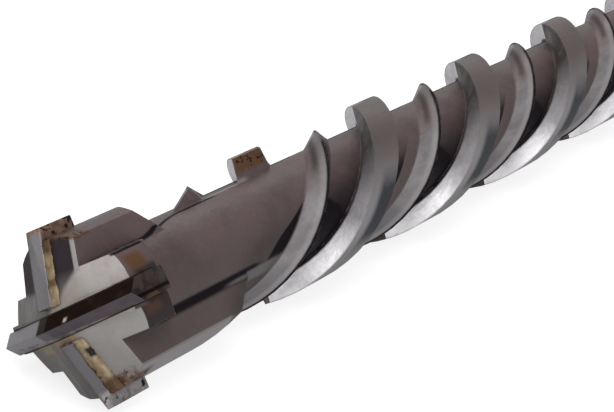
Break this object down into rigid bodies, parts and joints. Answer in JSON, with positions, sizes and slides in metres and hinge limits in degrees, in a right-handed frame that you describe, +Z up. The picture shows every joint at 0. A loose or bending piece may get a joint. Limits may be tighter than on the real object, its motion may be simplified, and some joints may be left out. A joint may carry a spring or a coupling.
{
  "type": "masonry drill bit",
  "caption": "Masonry drill bit for a rotary hammer: spiral-fluted steel bar, slotted shank, and a cross-shaped head with brazed carbide cutters.",
  "frame": {"origin": "centre of the shank's end face, on the axis", "axes": "+X along the axis, out of the shank's end; +Z up, with the bit lying on its lands and one side cutter turned up"},
  "size_m": [0.3292, 0.0218, 0.0218],
  "materials": {
    "steel": "blackened and rolled, worn bright on the flutes",
    "carbide": "ground",
    "braze": "as brazed"
  },
  "bodies": {
    "root": {"drill_body": "steel", "main_cutter": "carbide", "side_cutter_a": "carbide", "side_cutter_c": "carbide", "main_braze": "braze", "side_braze_a": "braze", "side_braze_c": "braze"}
  },
  "joints": []
}
